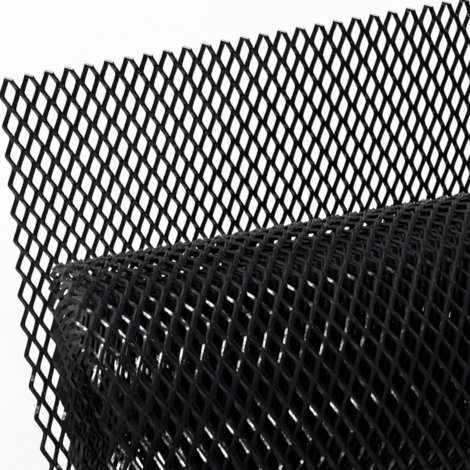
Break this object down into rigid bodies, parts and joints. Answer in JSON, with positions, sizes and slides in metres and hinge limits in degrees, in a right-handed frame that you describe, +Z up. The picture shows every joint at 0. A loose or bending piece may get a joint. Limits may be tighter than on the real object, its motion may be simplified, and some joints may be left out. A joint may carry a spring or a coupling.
{
  "type": "car grille mesh sheet",
  "caption": "Partly rolled sheet of black expanded metal mesh with small diamond cells, with one flat free end, for lining a car's grille openings.",
  "frame": {"origin": "on the floor under the middle of the sheet's box", "axes": "+X along the axis of the roll, +Y from the roll towards the sheet's free end, +Z up"},
  "size_m": [0.3352, 0.0996, 0.0615],
  "materials": {
    "mesh": "glossy black paint"
  },
  "bodies": {
    "root": {"rolled_sheet": "mesh"}
  },
  "joints": []
}
